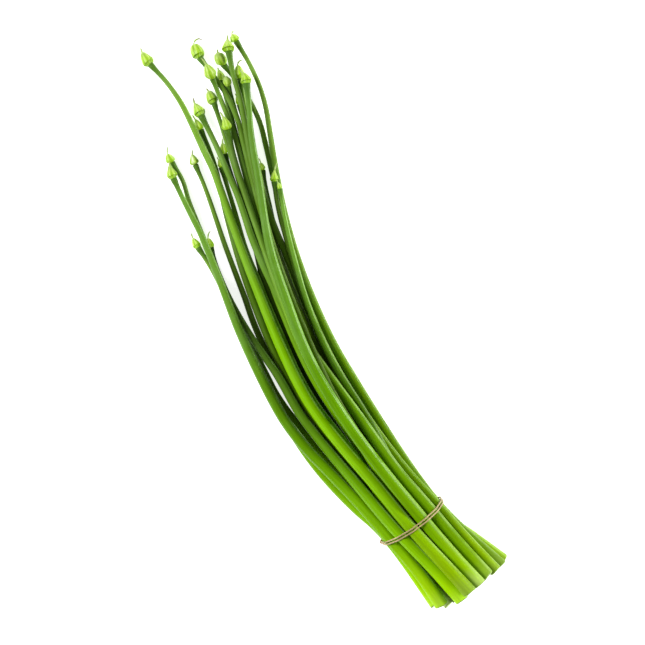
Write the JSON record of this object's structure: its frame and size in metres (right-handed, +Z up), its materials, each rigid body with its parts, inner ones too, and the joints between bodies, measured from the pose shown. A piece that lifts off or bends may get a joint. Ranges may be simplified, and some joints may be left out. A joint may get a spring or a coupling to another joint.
{
  "type": "onion flower stalk bunch",
  "caption": "Fresh onion flower stalks with closed pointed buds, lying as one loose bunch held near the cut ends by a thin rubber band wound twice round them.",
  "frame": {"origin": "on the table, under the middle of the bunch's box", "axes": "+Z is up, +Y runs along the bunch from the cut ends to the buds, +X is to the right when the buds point away"},
  "size_m": [0.0962, 0.379, 0.046],
  "materials": {
    "stalk": "fresh green plant skin, satin",
    "bud": "lime green papery plant skin",
    "band": "tan rubber, dull"
  },
  "bodies": {
    "root": {"stalk_01": "stalk", "bud_01": "bud", "stalk_02": "stalk", "bud_02": "bud", "stalk_03": "stalk", "bud_03": "bud", "stalk_04": "stalk", "bud_04": "bud", "stalk_05": "stalk", "bud_05": "bud", "stalk_06": "stalk", "bud_06": "bud", "stalk_07": "stalk", "bud_07": "bud", "stalk_08": "stalk", "bud_08": "bud", "stalk_09": "stalk", "bud_09": "bud", "stalk_10": "stalk", "bud_10": "bud", "stalk_11": "stalk", "bud_11": "bud", "stalk_12": "stalk", "bud_12": "bud", "stalk_13": "stalk", "bud_13": "bud", "stalk_14": "stalk", "bud_14": "bud", "stalk_15": "stalk", "bud_15": "bud", "stalk_16": "stalk", "bud_16": "bud", "stalk_17": "stalk", "bud_17": "bud", "stalk_18": "stalk", "bud_18": "bud", "stalk_19": "stalk", "bud_19": "bud", "stalk_20": "stalk", "bud_20": "bud", "stalk_21": "stalk", "bud_21": "bud", "stalk_22": "stalk", "bud_22": "bud", "stalk_23": "stalk", "bud_23": "bud", "stalk_24": "stalk", "bud_24": "bud", "stalk_25": "stalk", "bud_25": "bud", "tie_band": "band"}
  },
  "joints": []
}
